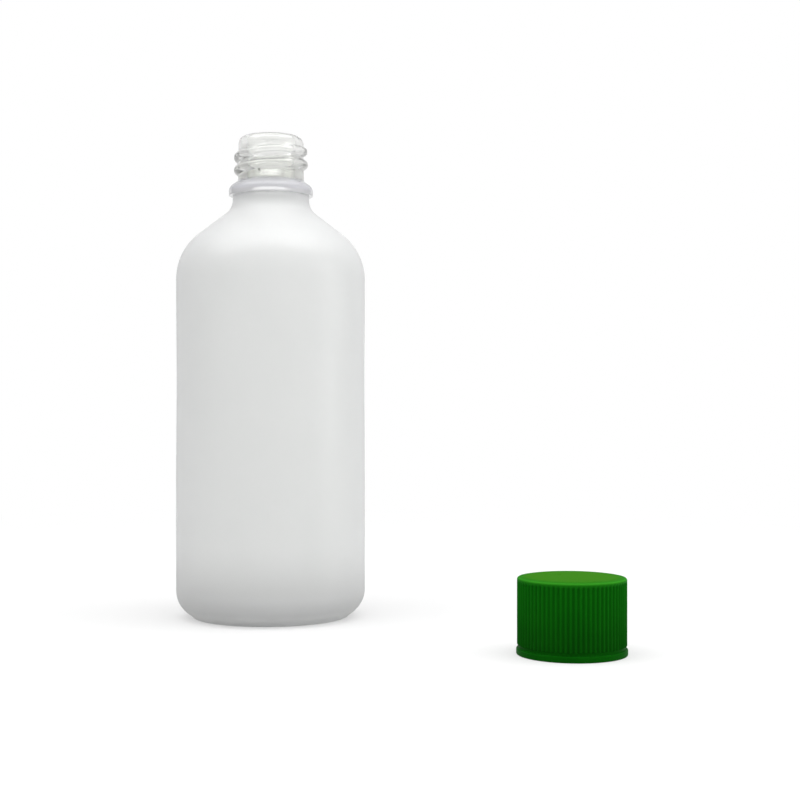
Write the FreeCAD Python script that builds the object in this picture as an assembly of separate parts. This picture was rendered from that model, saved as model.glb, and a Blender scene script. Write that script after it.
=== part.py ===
import FreeCAD, Part
import math
import os

# Frosted glass bottle with its screw cap taken off and stood beside it.
# Lengths in mm, angles in degrees. The bottle's axis is Z and it stands on Z = 0.

# Bottle body
BODY_D = 44.4
BOTTLE_H = 113.2
WALL = 2.2
HEEL_R = 6.5
HEEL_SLOPE = 38.0
STAND_D = 36.1
STAND_RING_W = 2.4
PUSH_UP = 1.6
PUSH_UP_FLAT_D = 12.0
BASE_T = 4.4
SHOULDER_SLOPE = 37.5
SHOULDER_R = 13.5
INNER_SHOULDER_CUT = 3.6

# Neck finish: a plain neck, the ring that the cap's skirt goes over, the thread and the lip.
# Its small roundings are straight cuts of about the same size.
NECK_D = 18.0
NECK_BLEND_CUT = 1.1
NECK_PLAIN_H = 1.95
FINISH_H = 14.1
RING_D = 19.7
RING_EDGE_H = 2.05
RING_TOP_CUT = 0.8
RING_SLOPE = 30.0
RING_CUT = 0.2
CORE_D = 15.5
LIP_CUT = 1.0
MOUTH_CUT = 0.4
MOUTH_D = 11.0

# Thread, shared by the neck and the cap; the ridge climbs to the right as seen from outside
PITCH = 3.0
THREAD_D = 17.8
THREAD_HALF_W = 1.35
THREAD_DOWN = 7.95
THREAD_START = 180.0
THREAD_TURNS = 1.5
CREST_SHARE = 0.4
FADE = 45.0
SECTION_STEP = 22.5
ROOT_DEPTH = 0.35
FADED_SHARE = 0.7

# Screw cap
CAP_H = 15.6
CAP_D = 22.0
CAP_TOP_T = 1.5
CAP_BAND_D = 22.35
CAP_BAND_H = 1.3
CAP_GROOVE_W = 0.6
CAP_GROOVE_DEPTH = 0.55
CAP_RIM_W = 1.6
CAP_RIM_DROP = 0.25
CAP_RIM_H = 0.6
RIB_COUNT = 70
RIB_DEPTH = 0.28
CAP_THREAD_CLEARANCE = 0.25
CAP_THREAD_H = 0.8
CAP_THREAD_HALF_W = 0.85
CAP_THREAD_TURNS = 1.25
CAP_RING_CLEARANCE = 0.2
CAP_RING_ROOM = 0.6
CAP_STEP_H = 0.8

# Sealing disc under the cap's top
LINER_T = 1.0
LINER_CLEARANCE = 0.15

# Where the cap stands
CAP_X = 65.0
CAP_Y = -53.0

# Sizes that follow from the ones above
BODY_RAD = BODY_D / 2
NECK_RAD = NECK_D / 2
RING_RAD = RING_D / 2
CORE_RAD = CORE_D / 2
MOUTH_RAD = MOUTH_D / 2
RING_Z = BOTTLE_H - FINISH_H
RING_H = RING_EDGE_H + (RING_RAD - CORE_RAD) * math.tan(math.radians(RING_SLOPE))
THREAD_Z = BOTTLE_H - THREAD_DOWN
CAP_TOP_Z = CAP_H - CAP_TOP_T
LINER_Z = CAP_TOP_Z - LINER_T
CAP_BORE_RAD = THREAD_D / 2 + CAP_THREAD_CLEARANCE
CAP_RING_RAD = RING_RAD + CAP_RING_CLEARANCE

# Height of the cap's rim on the bottle when the disc meets the lip
CAP_ON_Z = BOTTLE_H - LINER_Z
CAP_RING_H = RING_Z + RING_H + CAP_RING_ROOM - CAP_ON_Z

CENTRE = FreeCAD.Vector(0, 0, 0)
UP = FreeCAD.Vector(0, 0, 1)


def outline(corners):
    """Closed outline in the XZ plane through (x, z, size) rows.

    A corner's size is its fillet radius, or 0 for a sharp corner. A negative size
    cuts the corner straight, that far along each side.
    """
    points = [FreeCAD.Vector(x, 0, z) for x, z, size in corners]
    spans = []
    for i, here in enumerate(points):
        size = corners[i][2]
        back = (points[i - 1] - here).normalize()
        ahead = (points[(i + 1) % len(points)] - here).normalize()
        if size <= 0:
            spans.append((here - back * size, None, here - ahead * size))
            continue
        half = back.getAngle(ahead) / 2
        reach = size / math.tan(half)
        to_centre = (back + ahead).normalize()
        middle = here + to_centre * (size / math.sin(half) - size)
        spans.append((here + back * reach, middle, here + ahead * reach))
    edges = []
    for i, (start, middle, end) in enumerate(spans):
        if middle:
            edges.append(Part.Arc(start, middle, end).toShape())
        elif corners[i][2] < 0:
            edges.append(Part.makeLine(start, end))
        edges.append(Part.makeLine(end, spans[(i + 1) % len(spans)][0]))
    return Part.Wire(edges)


def turned(corners):
    """Solid of revolution about Z from an outline of (x, z, size) rows."""
    return Part.Face(outline(corners)).revolve(CENTRE, UP, 360)


def ridge(wall_rad, crest_rad, half_w, start, turns, start_z):
    """Helical thread ridge on a round wall; its two ends fade into the wall."""
    outwards = 1 if crest_rad > wall_rad else -1
    foot = wall_rad - outwards * ROOT_DEPTH
    full = abs(crest_rad - foot)
    span = 360 * turns
    count = round((span + 2 * FADE) / SECTION_STEP)
    sections = []
    for i in range(count + 1):
        turn = -FADE + (span + 2 * FADE) * i / count
        past_end = max(-turn, turn - span, 0) / FADE
        share = 0.5 + 0.5 * math.cos(math.pi * past_end)
        # A faded end keeps a low ridge, wholly inside the wall
        sunk = FADED_SHARE * ROOT_DEPTH
        tip = foot + outwards * (sunk + (full - sunk) * share)
        w = half_w * (0.5 + 0.5 * share)
        z = start_z + PITCH * turn / 360
        profile = [(foot, -w), (tip, -CREST_SHARE * w), (tip, CREST_SHARE * w), (foot, w), (foot, -w)]
        wire = Part.makePolygon([FreeCAD.Vector(x, 0, z + up) for x, up in profile])
        wire.rotate(CENTRE, UP, start + turn)
        sections.append(wire)
    return Part.makeLoft(sections, True, False)


def make_bottle():
    slope = math.tan(math.radians(SHOULDER_SLOPE))
    heel_z = (BODY_RAD - STAND_D / 2) * math.tan(math.radians(HEEL_SLOPE))
    neck_z = RING_Z - NECK_PLAIN_H - NECK_BLEND_CUT
    shoulder_z = neck_z - (BODY_RAD - NECK_RAD) * slope
    # The inside of the shoulder has the same slope, one wall deeper, up to the mouth's bore
    inner_rad = BODY_RAD - WALL
    inner_shoulder_z = shoulder_z + WALL * slope - WALL / math.cos(math.radians(SHOULDER_SLOPE))
    bore_z = inner_shoulder_z + (inner_rad - MOUTH_RAD) * slope
    stand_in_rad = STAND_D / 2 - STAND_RING_W
    glass = turned([
        (stand_in_rad, 0, 0),
        (STAND_D / 2, 0, 0),
        (BODY_RAD, heel_z, HEEL_R),
        (BODY_RAD, shoulder_z, SHOULDER_R),
        (NECK_RAD, neck_z, -NECK_BLEND_CUT),
        (NECK_RAD, RING_Z, 0),
        (RING_RAD, RING_Z, -RING_CUT),
        (RING_RAD, RING_Z + RING_EDGE_H, -RING_TOP_CUT),
        (CORE_RAD, RING_Z + RING_H, 0),
        (CORE_RAD, BOTTLE_H, -LIP_CUT),
        (MOUTH_RAD, BOTTLE_H, -MOUTH_CUT),
        (MOUTH_RAD, bore_z, 0),
        (inner_rad, inner_shoulder_z, -INNER_SHOULDER_CUT),
        (inner_rad, BASE_T, 0),
        (0, BASE_T, 0),
        (0, PUSH_UP, 0),
        (PUSH_UP_FLAT_D / 2, PUSH_UP, 0),
    ])
    thread = ridge(CORE_RAD, THREAD_D / 2, THREAD_HALF_W, THREAD_START, THREAD_TURNS, THREAD_Z)
    return glass.fuse(thread).removeSplitter()


def make_ribs(root_rad, crest_rad, low_z, high_z):
    """Vertical ribs as one zigzag tube that reaches a little way into the wall."""
    zigzag = []
    for i in range(2 * RIB_COUNT + 1):
        turn = math.pi * i / RIB_COUNT
        reach = crest_rad if i % 2 else root_rad
        zigzag.append(FreeCAD.Vector(reach * math.cos(turn), reach * math.sin(turn), low_z))
    tube = Part.Face(Part.makePolygon(zigzag)).extrude(UP * (high_z - low_z))
    return tube.cut(Part.makeCylinder(root_rad - RIB_DEPTH, CAP_H))


def make_cap():
    crest_rad = CAP_D / 2
    root_rad = crest_rad - RIB_DEPTH
    band_rad = CAP_BAND_D / 2
    groove_rad = band_rad - CAP_GROOVE_DEPTH
    groove_top = CAP_BAND_H + CAP_GROOVE_W
    rim_z = CAP_H - CAP_RIM_DROP
    rib_top = rim_z - CAP_RIM_H
    thread_low = CAP_RING_H + CAP_STEP_H
    shell = turned([
        (CAP_RING_RAD, 0, 0),
        (band_rad, 0, 0),
        (band_rad, CAP_BAND_H, 0),
        (groove_rad, CAP_BAND_H, 0),
        (groove_rad, groove_top, 0),
        (root_rad, groove_top, 0),
        (root_rad, rib_top, 0),
        (crest_rad, rib_top, 0),
        (crest_rad, rim_z, 0),
        (crest_rad - CAP_RIM_W, CAP_H, 0),
        (0, CAP_H, 0),
        (0, CAP_TOP_Z, 0),
        (CAP_BORE_RAD, CAP_TOP_Z, 0),
        (CAP_BORE_RAD, thread_low, 0),
        (CAP_RING_RAD, CAP_RING_H, 0),
    ])
    # Screwed on, the cap's ridge runs half a pitch below the neck's
    low_z = thread_low + CAP_THREAD_HALF_W + PITCH * FADE / 360
    start = THREAD_START + 360 * (low_z + CAP_ON_Z + PITCH / 2 - THREAD_Z) / PITCH
    crest = CAP_BORE_RAD - CAP_THREAD_H
    thread = ridge(CAP_BORE_RAD, crest, CAP_THREAD_HALF_W, start, CAP_THREAD_TURNS, low_z)
    return shell.fuse([make_ribs(root_rad, crest_rad, groove_top, rib_top), thread]).removeSplitter()


def make_liner():
    liner = Part.makeCylinder(CAP_BORE_RAD - LINER_CLEARANCE, LINER_T)
    liner.translate(FreeCAD.Vector(0, 0, LINER_Z))
    return liner


beside = FreeCAD.Vector(CAP_X, CAP_Y, 0)
parts = {
    "bottle": make_bottle(),
    "screw_cap": make_cap().translated(beside),
    "cap_liner": make_liner().translated(beside),
}

os.makedirs("parts", exist_ok=True)
for name, shape in parts.items():
    shape.exportStep("parts/" + name + ".step")
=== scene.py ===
import math

import bpy
import numpy as np
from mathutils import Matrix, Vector


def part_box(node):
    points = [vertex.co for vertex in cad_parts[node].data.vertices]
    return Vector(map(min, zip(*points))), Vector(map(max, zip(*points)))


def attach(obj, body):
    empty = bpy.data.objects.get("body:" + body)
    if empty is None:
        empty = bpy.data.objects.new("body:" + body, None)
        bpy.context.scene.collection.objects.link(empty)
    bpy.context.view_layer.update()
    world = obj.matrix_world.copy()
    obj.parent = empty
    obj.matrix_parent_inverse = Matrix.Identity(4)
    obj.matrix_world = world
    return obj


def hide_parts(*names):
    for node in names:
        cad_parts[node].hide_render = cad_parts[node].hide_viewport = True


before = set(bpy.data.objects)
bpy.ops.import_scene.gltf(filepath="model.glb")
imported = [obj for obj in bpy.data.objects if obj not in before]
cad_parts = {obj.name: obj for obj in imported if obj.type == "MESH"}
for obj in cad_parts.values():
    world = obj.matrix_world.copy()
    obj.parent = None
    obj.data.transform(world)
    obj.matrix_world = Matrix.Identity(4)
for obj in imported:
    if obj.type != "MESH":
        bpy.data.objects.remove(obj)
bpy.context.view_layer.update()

# A frosted glass bottle with a clear screw neck, and its ribbed green cap stood beside it.
# Lengths are in millimetres, and MM turns them into metres. Only the floor, the lamps and the
# noise are given in metres.
MM = 0.001

# The photograph's view: a level camera that looks along +Y
PICTURE_PX = 800
FOCAL_PX = 1480
SENSOR_W = 36.0
CAMERA_X = 30.5
CAMERA_DISTANCE = 350.0
CAMERA_Z = 50.95
CAMERA_NEAR = 10.0


def span(node):
    """Lowest and highest corner of a CAD node, in mm."""
    low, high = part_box(node)
    return np.array(low) / MM, np.array(high) / MM


bottle_low, bottle_high = span("bottle")
cap_low, cap_high = span("screw_cap")
BODY_RAD = (bottle_high[0] - bottle_low[0]) / 2
BOTTLE_H = bottle_high[2]
CAP_BAND_RAD = (cap_high[0] - cap_low[0]) / 2
CAP_H = cap_high[2]
CAP_X = (cap_low[0] + cap_high[0]) / 2
CAP_Y = (cap_low[1] + cap_high[1]) / 2

# Bottle body
STAND_RAD = 18.05
STAND_IN_RAD = 15.65
STAND_EDGE_R = 0.9
STAND_IN_R = 1.2
PUSH_UP = 1.6
PUSH_UP_RAD = 6.0
PUSH_UP_R = 8.0
HEEL_SLOPE = 38.0
HEEL_R = 6.5
SHOULDER_SLOPE = 37.5
SHOULDER_R = 13.5
NECK_RAD = 9.0
NECK_BLEND_R = 4.2
NECK_PLAIN_H = 0.98
WAIST = 0.13
WAIST_Z = 55.0
WAIST_SPREAD = 13.0

# Inside of the bottle
WALL = 2.2
BASE_T = 4.4
BASE_DOME_H = 0.9
INNER_SHOULDER_R = 9.0
INNER_NECK_R = 6.0
INNER_HEEL_R = 5.0

# Neck finish
FINISH_H = 14.1
RING_RAD = 9.92
RING_UNDER_R = 0.12
RING_EDGE_R = 0.12
RING_TOP_R = 1.95
RING_EDGE_H = 2.0
RING_SLOPE = 33.0
RING_FOOT_R = 0.8
CORE_RAD = 7.75
LIP_RAD = 7.64
LIP_R = 1.85
MOUTH_RAD = 5.5
MOUTH_FLARE = 0.35
MOUTH_FLARE_H = 2.2
MOUTH_FLARE_R = 5.0
MOUTH_EDGE_R = 0.3

# Relief on the neck's core: the ridge, a mould seam down its front and back, and a seed in the
# glass with a dark speck
RELIEF_UNDER_FOOT = 0.6
RELIEF_UNDER_LIP = 0.3
SEAM_H = 0.05
SEAM_HALF_W = 0.16
SEED_ANGLE = 253.0
SEED_Z = 104.3
SEED_RAD = 0.4
SEED_H = 0.3
SPECK_ANGLE = 254.9
SPECK_RAD = 8.0
SPECK_SIZE = (0.2, 0.4)

# Frost: thinner on the ring's upper half, and gone above the ring
RING_THIN = 0.25
RING_THIN_FROM = 0.9
RING_THIN_TO = 1.5
FROST_END = 0.5

# Helical ridges of the neck and the cap. A ridge fades over RIDGE_FADE degrees past each end of
# its run and over RIDGE_FADE_IN of that within it, down to RIDGE_END_W of its width.
PITCH = 3.0
RIDGE_POWER = 2.6
RIDGE_SOFT = 0.13
RIDGE_FADE = 50.0
RIDGE_FADE_IN = 0.25
RIDGE_END_W = 0.6
NECK_RIDGE_H = 1.0
NECK_RIDGE_HALF_W = 1.3
NECK_RIDGE_Z = 105.05
NECK_RIDGE_START = 180.0
NECK_RIDGE_TURNS = 1.5
CAP_RIDGE_H = 0.8
CAP_RIDGE_HALF_W = 0.85
CAP_RIDGE_Z = 4.89
CAP_RIDGE_START = 328.5
CAP_RIDGE_TURNS = 1.25

# Outside of the cap
CAP_FOOT_R = 0.25
CAP_BAND_H = 1.3
CAP_BAND_R = 0.3
CAP_GROOVE_W = 0.6
CAP_GROOVE_DEPTH = 0.55
CAP_GROOVE_R = 0.12
CAP_GROOVE_IN_R = 0.05
CAP_CREST_RAD = 11.0
CAP_EDGE_R = 0.5
CAP_RIM_H = 0.6
CAP_RIM_DROP = 0.25
CAP_RIM_W = 1.6
CAP_RIM_R = 4.0
RIB_COUNT = 70
RIB_DEPTH = 0.28
RIB_POWER = 0.8
RIB_FADE_UNDER = 0.15
RIB_FADE_OVER = 0.1
PIT_X = -2.1
PIT_Y = 3.4
PIT_RAD = 0.38
PIT_FLAT = 0.3
PIT_DEPTH = 0.35
PIT_ROOM = 0.6

# Tones of the cap's top: its painted highlight along the rim, and where the panel's tone passes into the
# rim's, in rim widths in from the crests
RIM_LIGHT_IN = 0.22
RIM_LIGHT_W = 0.17
PANEL_TONE_FROM = 1.6
PANEL_TONE_TO = 0.1

# Inside of the cap
CAP_TOP_T = 1.5
CAP_WALL_RAD = 9.15
CAP_PANEL_R = 0.3
CAP_SKIRT_RAD = 10.05
CAP_SKIRT_H = 2.86
CAP_SKIRT_R = 0.2
CAP_STEP_H = 0.8
RIDGE_UNDER_PANEL = 0.5
RIDGE_PAST_STEP = 0.1

# Grids: columns round a turn, the sag of an arc's chords, and the length of a profile's steps
GLASS_COLUMNS = 264
RIB_COLUMNS = 8
ARC_SAG = 0.004
WALL_STEP = 3.0
BASE_STEP = 1.5
STAND_STEP = 0.6
SHOULDER_STEP = 1.0
NECK_STEP = 0.3
THREAD_STEP = 0.095
MOUTH_STEP = 1.2
CAP_STEP = 0.3
CAP_BORE_STEP = 0.35
CAP_SKIRT_STEP = 0.8
CAP_GROOVE_STEP = 0.1
CAP_RIB_STEP = 0.5
CAP_RIM_STEP = 1.5
CAP_TOP_STEP = 1.0
PIT_STEP = 0.07

# Slack for a row of points that lies just at a limit
TOUCH = 0.01

# Heights over which one finish, painted light or painted shade passes into the next
FOOT_LIGHT_Z = (0.0, 3.0)
HEEL_SHADE_Z = (1.0, 19.0)
RING_TONE_Z = (98.5, 99.2)
RING_TOP_TONE_Z = (99.8, 100.4)
RING_GLOSS_END_Z = (99.9, 100.8)
NECK_TINT_AND_SHADE_Z = (103.0, 110.0)
CAP_SHADE_Z = (0.0, 14.0)

# Studio, in metres: half the floor's side, its drop under the object, and where it turns white
FLOOR_HALF = 6.0
FLOOR_DROP = 0.00002
FLOOR_WHITE_FROM = 0.14
FLOOR_WHITE_TO = 0.32
FLOOR_WHITE_SHARE = 0.45

# World: the strength of its light low down, what it gains upwards and to the right, and the
# strength of the room that glass and gloss show, with what that loses at its sides
DOME_LOW = 0.18
DOME_UP = 0.93
DOME_RIGHT = 0.18
ROOM = 0.84
ROOM_SIDES = 0.30
WHITE = (1, 1, 1, 1)

# Most surfaces that a ray of light meets, as it crosses the neck's walls
GLASS_BOUNCES = 24


def unit(v):
    """The vector of length 1 along v."""
    return v / np.linalg.norm(v)


def rounded(corners):
    """Profile through rows of (radius, height, fillet, step).

    At a corner with a fillet, an arc of that radius touches both of its runs; its chords
    lie at most ARC_SAG inside it. The run that follows a corner is cut into equal parts,
    about a step long each.
    """
    table = np.array(corners, float)
    points, fillets, steps = table[:, :2], table[:, 2], table[:, 3]
    arcs = []
    for i, fillet in enumerate(fillets):
        here = points[i]
        if not fillet:
            arcs.append(here[None])
            continue
        back = unit(points[i - 1] - here)
        ahead = unit(points[i + 1] - here)
        half = math.acos(back @ ahead) / 2
        centre = here + unit(back + ahead) * fillet / math.sin(half)
        start = here + back * fillet / math.tan(half) - centre
        end = here + ahead * fillet / math.tan(half) - centre
        sweep = math.pi - 2 * half
        count = max(2, math.ceil(sweep / (2 * math.acos(1 - ARC_SAG / fillet))))
        t = np.linspace(0, 1, count + 1)[:, None]
        arc = (np.sin((1 - t) * sweep) * start + np.sin(t * sweep) * end) / math.sin(sweep)
        arcs.append(centre + arc)
    rows = []
    for arc, following, step in zip(arcs, arcs[1:], steps):
        rows.append(arc)
        gap = following[0] - arc[-1]
        count = max(1, math.ceil(np.linalg.norm(gap) / step))
        rows.append(arc[-1] + gap * np.linspace(0, 1, count + 1)[1:-1, None])
    rows.append(arcs[-1])
    profile = np.concatenate(rows)
    return profile[:, 0], profile[:, 1]


def smooth(low, high, x):
    """Rises from 0 at low to 1 at high: 3t² - 2t³ of the clipped share t."""
    t = np.clip((x - low) / (high - low), 0, 1)
    return t * t * (3 - 2 * t)


def bell(x, centre, width):
    """Gauss bell of height 1."""
    return np.exp(-(((x - centre) / width) ** 2))


def angles(columns):
    """Angles of a turned surface's columns, in radians, from 0 to just under a full turn."""
    return np.linspace(0, 2 * math.pi, columns, endpoint=False)


def turned(name, radius, height, centre=(0.0, 0.0), **point_values):
    """Closed surface turned about a vertical axis, from grids of radius and height.

    Row i and column j give the point (R cos a, R sin a, H) with a = 360° j / columns. The
    first and last rows lie on the axis, so each is one point with a fan of triangles.
    """
    rows, columns = radius.shape
    a = angles(columns)
    grid = np.stack([radius * np.cos(a) + centre[0], radius * np.sin(a) + centre[1], height], axis=-1)
    points = np.concatenate([grid[:1, 0], grid[1:-1].reshape(-1, 3), grid[-1:, 0]]) * MM
    ring = np.arange(columns)
    after = (ring + 1) % columns
    first = 1 + columns * np.arange(rows - 3)[:, None]
    second = first + columns
    quads = np.stack([first + ring, first + after, second + after, second + ring], axis=-1)
    top = 1 + columns * (rows - 3)
    end = len(points) - 1
    first_fan = np.stack([np.zeros_like(ring), 1 + after, 1 + ring], axis=-1)
    last_fan = np.stack([np.full_like(ring, end), top + ring, top + after], axis=-1)
    mesh = bpy.data.meshes.new(name)
    faces = quads.reshape(-1, 4).tolist() + first_fan.tolist() + last_fan.tolist()
    mesh.from_pydata(points.tolist(), [], faces)
    for key, value in point_values.items():
        value = np.broadcast_to(value, radius.shape)
        flat = np.concatenate([value[:1, 0], value[1:-1].ravel(), value[-1:, 0]])
        mesh.attributes.new(key, "FLOAT", "POINT").data.foreach_set("value", flat.astype(np.float32))
    mesh.shade_smooth()
    piece = bpy.data.objects.new(name, mesh)
    bpy.context.scene.collection.objects.link(piece)
    return piece


def thread_rise(angle, height, start_angle, start_z, turns, half_w, rise):
    """Rise of a right-hand helical ridge over its wall, on grids of angle and height.

    With t the turns since the start, the ridge's middle is at start_z + pitch t. At a
    distance d from it, the section s is rise times 1 - (d / half_w)^power. Where s meets 0
    it turns softly: half the sum of s and the root of s² + soft², less half of soft² over
    |s| + soft. The ridge lowers and narrows at both ends of its run.
    """
    turn = ((angle - math.radians(start_angle)) / (2 * math.pi)) % 1
    total = np.zeros(np.broadcast(angle, height).shape)
    fade = RIDGE_FADE / 360
    fade_in = RIDGE_FADE_IN * fade
    for lap in range(-1, math.ceil(turns) + 1):
        t = turn + lap
        share = smooth(-fade, fade_in, t) * (1 - smooth(turns - fade_in, turns + fade, t))
        width = half_w * (RIDGE_END_W + (1 - RIDGE_END_W) * share)
        d = np.abs(height - start_z - PITCH * t) / width
        section = rise * share * (1 - d ** RIDGE_POWER)
        lifted = 0.5 * (section + np.sqrt(section**2 + RIDGE_SOFT**2))
        rounding = 0.5 * RIDGE_SOFT**2 / (np.abs(section) + RIDGE_SOFT)
        total = np.maximum(total, np.maximum(lifted - rounding, 0) * (share > 0))
    return total


def make_glass():
    """The bottle: its profile, from the middle of the base outside to the same place inside.

    A wide bell over the height takes the waist from the outside's radius. On the neck's
    core three reliefs add to it: the ridge, a bell across each seam, and a bell round the
    seed. The frost attribute is 1 outside up to the ring, then falls, and is 0 on the clear
    neck and on the inside.
    """
    heel_z = (BODY_RAD - STAND_RAD) * math.tan(math.radians(HEEL_SLOPE))
    slope = math.tan(math.radians(SHOULDER_SLOPE))
    ring_z = BOTTLE_H - FINISH_H
    neck_z = ring_z - NECK_PLAIN_H - NECK_BLEND_R * math.tan(math.radians(90 - SHOULDER_SLOPE) / 2)
    shoulder_z = neck_z - (BODY_RAD - NECK_RAD) * slope
    inner_rad = BODY_RAD - WALL
    inner_shoulder_z = shoulder_z + WALL * slope - WALL / math.cos(math.radians(SHOULDER_SLOPE))
    bore_z = inner_shoulder_z + (inner_rad - MOUTH_RAD) * slope
    ring_top = ring_z + RING_EDGE_H + (RING_RAD - CORE_RAD) * math.tan(math.radians(RING_SLOPE))
    radius, height = rounded([
        (0, PUSH_UP, 0, WALL_STEP),
        (PUSH_UP_RAD, PUSH_UP, PUSH_UP_R, BASE_STEP),
        (STAND_IN_RAD, 0, STAND_IN_R, STAND_STEP),
        (STAND_RAD, 0, STAND_EDGE_R, STAND_STEP),
        (BODY_RAD, heel_z, HEEL_R, WALL_STEP),
        (BODY_RAD, shoulder_z, SHOULDER_R, SHOULDER_STEP),
        (NECK_RAD, neck_z, NECK_BLEND_R, NECK_STEP),
        (NECK_RAD, ring_z, RING_UNDER_R, NECK_STEP),
        (RING_RAD, ring_z, RING_EDGE_R, NECK_STEP),
        (RING_RAD, ring_z + RING_EDGE_H, RING_TOP_R, NECK_STEP),
        (CORE_RAD, ring_top, RING_FOOT_R, THREAD_STEP),
        (LIP_RAD, BOTTLE_H, LIP_R, NECK_STEP),
        (MOUTH_RAD + MOUTH_FLARE, BOTTLE_H, MOUTH_EDGE_R, NECK_STEP),
        (MOUTH_RAD, BOTTLE_H - MOUTH_FLARE_H, MOUTH_FLARE_R, MOUTH_STEP),
        (MOUTH_RAD, bore_z, INNER_NECK_R, SHOULDER_STEP),
        (inner_rad, inner_shoulder_z, INNER_SHOULDER_R, WALL_STEP),
        (inner_rad, BASE_T, INNER_HEEL_R, BASE_STEP),
        (PUSH_UP_RAD, BASE_T, PUSH_UP_R, BASE_STEP),
        (0, BASE_T + BASE_DOME_H, 0, WALL_STEP),
    ])
    outside = np.arange(len(height)) < np.argmax(height)
    radius = radius - WAIST * bell(height, WAIST_Z, WAIST_SPREAD) * outside
    core = outside & (height > ring_top - RELIEF_UNDER_FOOT) & (height < BOTTLE_H - RELIEF_UNDER_LIP)
    radius, height, outside, core = radius[:, None], height[:, None], outside[:, None], core[:, None]
    angle = angles(GLASS_COLUMNS)[None]
    ridge = thread_rise(angle, height, NECK_RIDGE_START, NECK_RIDGE_Z, NECK_RIDGE_TURNS,
                        NECK_RIDGE_HALF_W, NECK_RIDGE_H)
    seam = SEAM_H * bell(np.cos(angle) * CORE_RAD, 0, SEAM_HALF_W)
    along = (angle - math.radians(SEED_ANGLE)) * CORE_RAD
    seed = SEED_H * bell(along, 0, SEED_RAD) * bell(height, SEED_Z, SEED_RAD)
    radius = radius + (ridge + seam + seed) * core
    height = np.broadcast_to(height, radius.shape)
    frost = 1 - RING_THIN * smooth(ring_z + RING_THIN_FROM, ring_z + RING_THIN_TO, height)
    frost = frost * (1 - smooth(ring_top - FROST_END, ring_top + FROST_END, height)) * outside
    return turned("glass", radius, height, frost=frost)


def make_cap():
    """The cap: its profile, from the middle of the top inside to the same place outside.

    Between ribs the wall's radius drops by the rib depth times ((1 - cos(ribs a)) / 2)^power,
    and in the bore the ridge takes its rise from it. A soft round step lowers the top into
    the pit. The attributes are 1 between ribs (valley, also the mask of the painted shade
    between ribs), above them (top), within the rim (inner), along the rim's painted highlight
    (painted_rim_light) and in the pit (pit).
    """
    root = CAP_CREST_RAD - RIB_DEPTH
    groove_rad = CAP_BAND_RAD - CAP_GROOVE_DEPTH
    groove_top = CAP_BAND_H + CAP_GROOVE_W
    rim_z = CAP_H - CAP_RIM_DROP
    rib_top = rim_z - CAP_RIM_H
    panel_z = CAP_H - CAP_TOP_T
    step_z = CAP_SKIRT_H + CAP_STEP_H
    pit_reach = math.hypot(PIT_X, PIT_Y)
    radius, height = rounded([
        (0, panel_z, 0, WALL_STEP),
        (CAP_WALL_RAD, panel_z, CAP_PANEL_R, CAP_BORE_STEP),
        (CAP_WALL_RAD, step_z, CAP_SKIRT_R, CAP_STEP),
        (CAP_SKIRT_RAD, CAP_SKIRT_H, CAP_SKIRT_R, CAP_SKIRT_STEP),
        (CAP_SKIRT_RAD, 0, CAP_SKIRT_R, CAP_STEP),
        (CAP_BAND_RAD, 0, CAP_FOOT_R, CAP_STEP),
        (CAP_BAND_RAD, CAP_BAND_H, CAP_BAND_R, CAP_STEP),
        (groove_rad, CAP_BAND_H, CAP_GROOVE_R, CAP_STEP),
        (groove_rad, groove_top, CAP_GROOVE_IN_R, CAP_GROOVE_STEP),
        (CAP_CREST_RAD, groove_top, CAP_GROOVE_R, CAP_RIB_STEP),
        (CAP_CREST_RAD, rim_z, CAP_EDGE_R, CAP_STEP),
        (CAP_CREST_RAD - CAP_RIM_W, CAP_H, CAP_RIM_R, CAP_RIM_STEP),
        (pit_reach + PIT_ROOM, CAP_H, 0, PIT_STEP),
        (pit_reach - PIT_ROOM, CAP_H, 0, CAP_TOP_STEP),
        (0, CAP_H, 0, CAP_TOP_STEP),
    ])
    outside = np.arange(len(height)) > np.argmin(height)
    radius, height, outside = radius[:, None], height[:, None], outside[:, None]
    angle = angles(RIB_COUNT * RIB_COLUMNS)[None]
    wall = outside & (radius > root) & (height > groove_top - TOUCH)
    valley = (0.5 - 0.5 * np.cos(RIB_COUNT * angle)) ** RIB_POWER
    cut = valley * (1 - smooth(rib_top - RIB_FADE_UNDER, rib_top + RIB_FADE_OVER, height)) * wall
    bore = ~outside & (height < panel_z - RIDGE_UNDER_PANEL) & (height > step_z - RIDGE_PAST_STEP)
    ridge = thread_rise(angle, height, CAP_RIDGE_START, CAP_RIDGE_Z, CAP_RIDGE_TURNS,
                        CAP_RIDGE_HALF_W, CAP_RIDGE_H)
    radius = radius - RIB_DEPTH * cut - ridge * bore
    gap = np.hypot(radius * np.cos(angle) - PIT_X, radius * np.sin(angle) - PIT_Y)
    pit = (1 - smooth(PIT_FLAT * PIT_RAD, PIT_RAD, gap)) * outside * (height > rim_z)
    top = smooth(rib_top, rim_z, height) * outside
    panel_from = CAP_CREST_RAD - PANEL_TONE_FROM * CAP_RIM_W
    panel_to = CAP_CREST_RAD - PANEL_TONE_TO * CAP_RIM_W
    inner = top * (1 - smooth(panel_from, panel_to, radius))
    # Painted highlight: a narrow band along the rim, near the crests
    painted_rim_light = top * bell(radius, CAP_CREST_RAD - RIM_LIGHT_IN, RIM_LIGHT_W)
    height = height - PIT_DEPTH * pit
    # The mask between the ribs also sets painted shade there
    tones = {"valley": cut, "top": top, "inner": inner, "painted_rim_light": painted_rim_light, "pit": pit}
    return turned("cap", radius, height, (CAP_X, CAP_Y), **tones)


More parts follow.
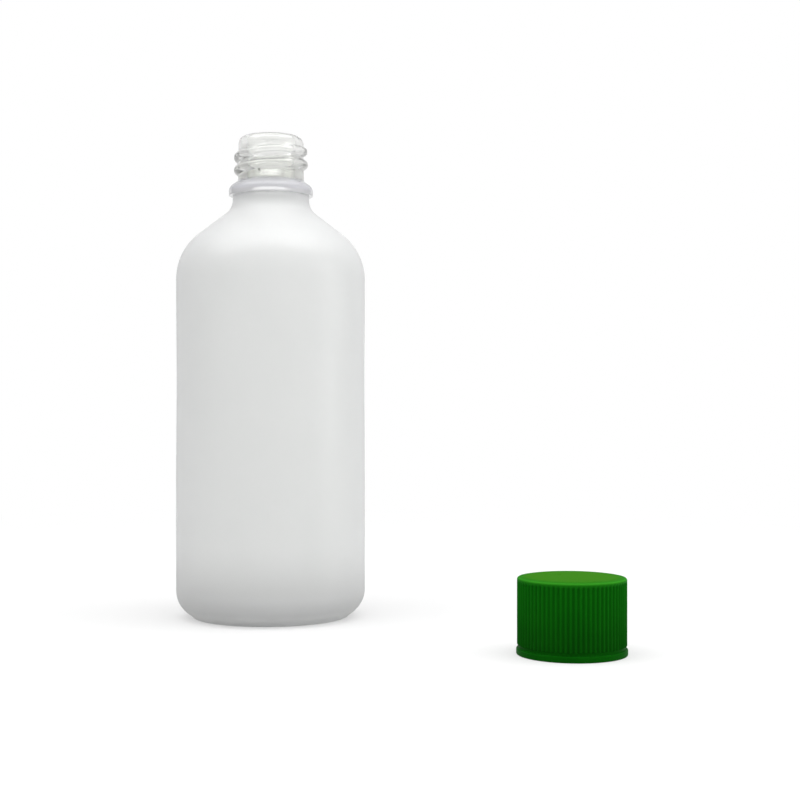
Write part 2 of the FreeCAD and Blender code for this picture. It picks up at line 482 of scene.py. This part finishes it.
class Wire:
    """An output socket of a node tree; arithmetic on it adds Math nodes."""

    tree = None

    def __init__(self, socket):
        self.socket = socket

    @classmethod
    def node(cls, kind, settings=None, sockets=None, out=0):
        """Adds a node: its settings first, then values or links of its inputs."""
        made = cls.tree.nodes.new(kind)
        for key, value in (settings or {}).items():
            setattr(made, key, value)
        for key, value in (sockets or {}).items():
            if isinstance(value, Wire):
                cls.tree.links.new(value.socket, made.inputs[key])
            else:
                made.inputs[key].default_value = value
        return cls(made.outputs[out]) if len(made.outputs) else made

    @classmethod
    def math(cls, operation, a, b=0.0):
        """A Math node on one or two values or wires."""
        return cls.node("ShaderNodeMath", {"operation": operation}, {0: a, 1: b})

    def __add__(self, other):
        return self.math("ADD", self, other)

    def __radd__(self, other):
        return self.math("ADD", other, self)

    def __sub__(self, other):
        return self.math("SUBTRACT", self, other)

    def __rsub__(self, other):
        return self.math("SUBTRACT", other, self)

    def __mul__(self, other):
        return self.math("MULTIPLY", self, other)

    def __rmul__(self, other):
        return self.math("MULTIPLY", other, self)

    def between(self, low, high):
        """Rises smoothly from 0 at low to 1 at high."""
        settings = {"interpolation_type": "SMOOTHSTEP"}
        return self.node("ShaderNodeMapRange", settings, {0: self, 1: low, 2: high})

    def over(self, ends):
        """Rises smoothly from 0 to 1 between a pair of lengths in mm."""
        low, high = ends
        return self.between(low * MM, high * MM)


def mixed(mask, a, b):
    """Colour a where the mask is 0 and b where it is 1."""
    return Wire.node("ShaderNodeMix", {"data_type": "RGBA"}, {0: mask, 6: a, 7: b}, out=2)


def place():
    """Object coordinates, in metres."""
    return Wire.node("ShaderNodeTexCoord", out="Object")


def level():
    """Height over the ground, in metres."""
    return Wire.node("ShaderNodeSeparateXYZ", None, {0: place()}, out=2)


def attribute(name):
    """A value that the mesh holds at its points."""
    return Wire.node("ShaderNodeAttribute", {"attribute_name": name}, out="Fac")


def noise(scale, detail=2.0, roughness=0.5):
    """Noise from 0 to 1 on Object coordinates, with features about 1 / scale metres wide."""
    sockets = {"Vector": place(), "Scale": scale, "Detail": detail, "Roughness": roughness}
    return Wire.node("ShaderNodeTexNoise", None, sockets)


def bump(height, strength, distance):
    """Normal from a height between 0 and 1, which stands for the distance in metres."""
    sockets = {"Strength": strength, "Distance": distance, "Height": height}
    return Wire.node("ShaderNodeBump", None, sockets)


def material(name):
    """New material, whose empty node tree takes the nodes that follow."""
    made = bpy.data.materials.new(name)
    made.use_nodes = True
    made.node_tree.nodes.clear()
    Wire.tree = made.node_tree
    return made


def surface(shader):
    """Ends a material with its shader."""
    Wire.node("ShaderNodeOutputMaterial", None, {"Surface": shader})


def glass_material():
    """Etched glass where the frost attribute is 1, and clear glass where it is 0.

    The etched glass has painted shade that darkens it towards the heel, and painted light that makes it
    pale again at its foot; it is smoother on the ring, whose lower part has a gloss. The clear glass is
    tinted a little greener low down, and darker there as painted shade.
    """
    etched_dark = (0.80, 0.81, 0.81, 1)
    etched_pale = (0.84, 0.845, 0.845, 1)
    ring_tone = (0.58, 0.58, 0.60, 1)
    ring_top_tone = (0.64, 0.64, 0.69, 1)
    # Painted shade: the lowest part of the etched glass is coloured darker
    heel_painted_shade = (0.60, 0.605, 0.605, 1)
    # Painted light: the foot of the etched glass is coloured paler, against the shade at the ground
    foot_painted_light = (0.90, 0.905, 0.905, 1)
    # Partly painted shade: the low neck's tint is darker as well as greener
    low_tint_and_shade = (0.80, 0.81, 0.775, 1)
    high_tint = (0.95, 0.955, 0.94, 1)
    speck_tint = (0.1, 0.105, 0.095, 1)

    made = material("frosted_glass")
    cloud = noise(90.0, detail=3.0)
    grain = noise(2600.0, roughness=0.6)
    ripple = noise(260.0, detail=1.0)
    frost = attribute("frost")
    edge = frost + 0.5 * frost * (1 - frost) * (noise(1200.0) - 0.5)

    ring = level().over(RING_TONE_Z)
    body = mixed(cloud, etched_dark, etched_pale)
    body = mixed(ring, body, ring_tone)
    body = mixed(level().over(RING_TOP_TONE_Z), body, ring_top_tone)
    # Painted shade, darkest at the heel
    body = mixed(level().over(HEEL_SHADE_Z), heel_painted_shade, body)
    # Its base colour carries painted light at the foot
    etched = Wire.node("ShaderNodeBsdfPrincipled", None, {
        "Base Color": mixed(level().over(FOOT_LIGHT_Z), foot_painted_light, body),
        "Roughness": 0.38 - 0.18 * ring + 0.1 * grain,
        "IOR": 1.5,
        "Transmission Weight": 0.5,
        "Coat Weight": ring * (1 - level().over(RING_GLOSS_END_Z)),
        "Coat Roughness": 0.11,
        "Coat IOR": 1.9,
        "Normal": bump(grain * (1 - ring), strength=0.5, distance=0.03 * MM),
    })

    turn = math.radians(SPECK_ANGLE)
    speck = (SPECK_RAD * math.cos(turn) * MM, SPECK_RAD * math.sin(turn) * MM, SEED_Z * MM)
    away = Wire.node("ShaderNodeVectorMath", {"operation": "DISTANCE"}, {0: place(), 1: speck}, out="Value")
    # A greener tint with painted shade, darker low on the neck
    tint = mixed(level().over(NECK_TINT_AND_SHADE_Z), low_tint_and_shade, high_tint)
    clear = Wire.node("ShaderNodeBsdfPrincipled", None, {
        "Base Color": mixed(away.over(SPECK_SIZE), speck_tint, tint),
        "Roughness": 0.10 + 0.06 * cloud,
        "IOR": 1.5,
        "Transmission Weight": 0.92,
        "Coat Weight": 0.3,
        "Coat Roughness": 0.1,
        "Coat IOR": 1.9,
        "Normal": bump(ripple, strength=0.3, distance=0.08 * MM),
    })
    surface(Wire.node("ShaderNodeMixShader", None, {0: edge, 1: clear, 2: etched}))
    return made


def plastic_material():
    """Moulded green plastic with painted shade: dark between the ribs and lighter upwards, with an olive
    top.

    The rim has its own green, with a painted highlight along its edge, and the whole is a
    little worn in soft clouds.
    """
    # Painted shade: the sides are coloured darker low down and between the ribs
    shaded_low_crest = (0.001, 0.048, 0.001, 1)
    shaded_low_valley = (0.0008, 0.027, 0.0008, 1)
    high_crest = (0.002, 0.084, 0.002, 1)
    shaded_high_valley = (0.001, 0.048, 0.001, 1)
    rim_tone = (0.014, 0.130, 0.005, 1)
    # Painted highlight along the rim's edge
    painted_rim_light_tone = (0.026, 0.195, 0.012, 1)
    panel_tone = (0.030, 0.135, 0.003, 1)
    pit_tone = (0.003, 0.02, 0.002, 1)
    worn_tone = (0.007, 0.13, 0.003, 1)

    made = material("green_plastic")
    cloud = noise(160.0, detail=3.0)
    grain = noise(5200.0, roughness=0.6)
    valley = attribute("valley")
    top = attribute("top")
    # Painted shade between the ribs and towards the bottom of the sides
    low = mixed(valley, shaded_low_crest, shaded_low_valley)
    high = mixed(valley, high_crest, shaded_high_valley)
    side = mixed(level().over(CAP_SHADE_Z), low, high)
    # Painted highlight along the rim's edge
    rim = mixed(attribute("painted_rim_light"), mixed(top, side, rim_tone), painted_rim_light_tone)
    whole = mixed(attribute("inner"), rim, panel_tone)
    whole = mixed(0.9 * attribute("pit"), whole, pit_tone)
    surface(Wire.node("ShaderNodeBsdfPrincipled", None, {
        "Base Color": mixed(0.2 * cloud, whole, worn_tone),
        "Roughness": 0.38 + 0.14 * grain + 0.3 * top,
        "IOR": 1.5,
        "Specular IOR Level": 0.01,
        "Sheen Weight": 0.05,
        "Sheen Tint": (0.03, 0.6, 0.06, 1),
        "Normal": bump(grain, strength=0.25, distance=0.02 * MM),
    }))
    return made


def foam_material():
    """White foam with fine cells."""
    made = material("white_foam")
    cells = noise(6000.0, detail=3.0, roughness=0.7)
    surface(Wire.node("ShaderNodeBsdfPrincipled", None, {
        "Base Color": mixed(cells, (0.80, 0.80, 0.77, 1), (0.88, 0.88, 0.86, 1)),
        "Roughness": 0.75 + 0.15 * cells,
        "Normal": bump(cells, strength=0.5, distance=0.05 * MM),
    }))
    return made


def seen_rays():
    """1 for camera, glossy and transmission rays, which see the background; 0 for light."""
    camera = Wire.node("ShaderNodeLightPath", out="Is Camera Ray")
    glossy = Wire.node("ShaderNodeLightPath", out="Is Glossy Ray")
    through = Wire.node("ShaderNodeLightPath", out="Is Transmission Ray")
    return Wire.math("MAXIMUM", Wire.math("MAXIMUM", camera, glossy), through)


def floor_material():
    """Pale paper that lights the object, and that is seen partly, then wholly, as plain white."""
    made = material("studio_floor")
    paper = Wire.node("ShaderNodeBsdfPrincipled", None, {
        "Base Color": (0.66, 0.66, 0.66, 1),
        "Roughness": 0.8,
        "Specular IOR Level": 0.2,
    })
    white = Wire.node("ShaderNodeEmission", None, {"Color": WHITE, "Strength": 1.0})
    away = Wire.node("ShaderNodeVectorMath", {"operation": "LENGTH"}, {0: place()}, out="Value")
    far = away.between(FLOOR_WHITE_FROM, FLOOR_WHITE_TO)
    share = seen_rays() * (FLOOR_WHITE_SHARE + (1 - FLOOR_WHITE_SHARE) * far)
    surface(Wire.node("ShaderNodeMixShader", None, {0: share, 1: paper, 2: white}))
    return made


def make_floor():
    """Square floor just under the object."""
    half = FLOOR_HALF
    corners = [(-half, -half, 0), (half, -half, 0), (half, half, 0), (-half, half, 0)]
    mesh = bpy.data.meshes.new("studio_floor")
    mesh.from_pydata(corners, [], [(0, 1, 2, 3)])
    floor = bpy.data.objects.new("studio_floor", mesh)
    floor.location.z = -FLOOR_DROP
    bpy.context.scene.collection.objects.link(floor)
    mesh.materials.append(floor_material())


def backdrop(strength):
    """White light from the world, of the given strength."""
    return Wire.node("ShaderNodeBackground", None, {"Color": WHITE, "Strength": strength})


def make_world():
    """A dome that is brighter above and to the right.

    Glossy and transmission rays see a pale room instead, with greyer sides, and the camera
    sees white.
    """
    world = bpy.data.worlds.new("studio")
    bpy.context.scene.world = world
    world.use_nodes = True
    world.node_tree.nodes.clear()
    Wire.tree = world.node_tree
    way = Wire.node("ShaderNodeTexCoord", out="Generated")
    across = Wire.node("ShaderNodeSeparateXYZ", None, {0: way}, out=0)
    upward = Wire.node("ShaderNodeSeparateXYZ", None, {0: way}, out=2)
    up = upward.between(-0.2, 1.0)
    right = across.between(-1.0, 1.0)
    side = Wire.math("ABSOLUTE", across).between(0.55, 0.95)
    dome = backdrop(DOME_LOW + DOME_UP * up + DOME_RIGHT * right)
    room = backdrop(ROOM - ROOM_SIDES * side)
    unseen = Wire.node("ShaderNodeMixShader", None, {0: seen_rays(), 1: dome, 2: room})
    camera = Wire.node("ShaderNodeLightPath", out="Is Camera Ray")
    whole = Wire.node("ShaderNodeMixShader", None, {0: camera, 1: unseen, 2: backdrop(1.0)})
    Wire.node("ShaderNodeOutputWorld", None, {"Surface": whole})


def lamp(name, at, target, size, power, mirrored=True):
    """Soft rectangular lamp, in metres and watts; its size is its width and its height.

    The camera doesn't see it, and glossy surfaces show it only if it is mirrored.
    """
    light = bpy.data.lights.new(name, "AREA")
    light.shape = "RECTANGLE"
    light.size, light.size_y = size
    light.energy = power
    made = bpy.data.objects.new(name, light)
    made.location = at
    made.rotation_euler = (Vector(target) - Vector(at)).to_track_quat("-Z", "Y").to_euler()
    made.visible_camera = False
    made.visible_glossy = mirrored
    bpy.context.scene.collection.objects.link(made)


def make_camera():
    """The camera, with the photograph's angle of view."""
    data = bpy.data.cameras.new("camera")
    data.sensor_width = SENSOR_W
    data.lens = FOCAL_PX / PICTURE_PX * SENSOR_W
    data.clip_start = CAMERA_NEAR * MM
    camera = bpy.data.objects.new("camera", data)
    camera.location = (CAMERA_X * MM, -CAMERA_DISTANCE * MM, CAMERA_Z * MM)
    camera.rotation_euler = (math.pi / 2, 0, 0)
    bpy.context.scene.collection.objects.link(camera)
    bpy.context.scene.camera = camera


bpy.context.scene.view_settings.view_transform = "Standard"
bpy.context.scene.cycles.max_bounces = GLASS_BOUNCES
bpy.context.scene.cycles.transmission_bounces = GLASS_BOUNCES
make_camera()
make_world()
make_floor()
lamp("top_softbox", (0.03, -0.1, 0.75), (0.02, 0, 0.05), (1.5, 0.6), 6.2)
lamp("front_softbox", (0.02, -0.6, 0.19), (0, 0, 0.1), (1.5, 0.06), 1.1)
lamp("right_softbox", (0.8, -0.1, 0.16), (0, 0, 0.05), (0.5, 0.3), 1.65, mirrored=False)
lamp("left_softbox", (-0.3, -0.12, 0.32), (0, 0, 0.08), (0.25, 0.2), 0.13, mirrored=False)

glass = make_glass()
glass.data.materials.append(glass_material())
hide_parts("bottle")
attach(glass, "root")

cap = make_cap()
cap.data.materials.append(plastic_material())
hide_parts("screw_cap")
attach(cap, "root")

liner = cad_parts["cap_liner"]
liner.data.materials.clear()
liner.data.materials.append(foam_material())
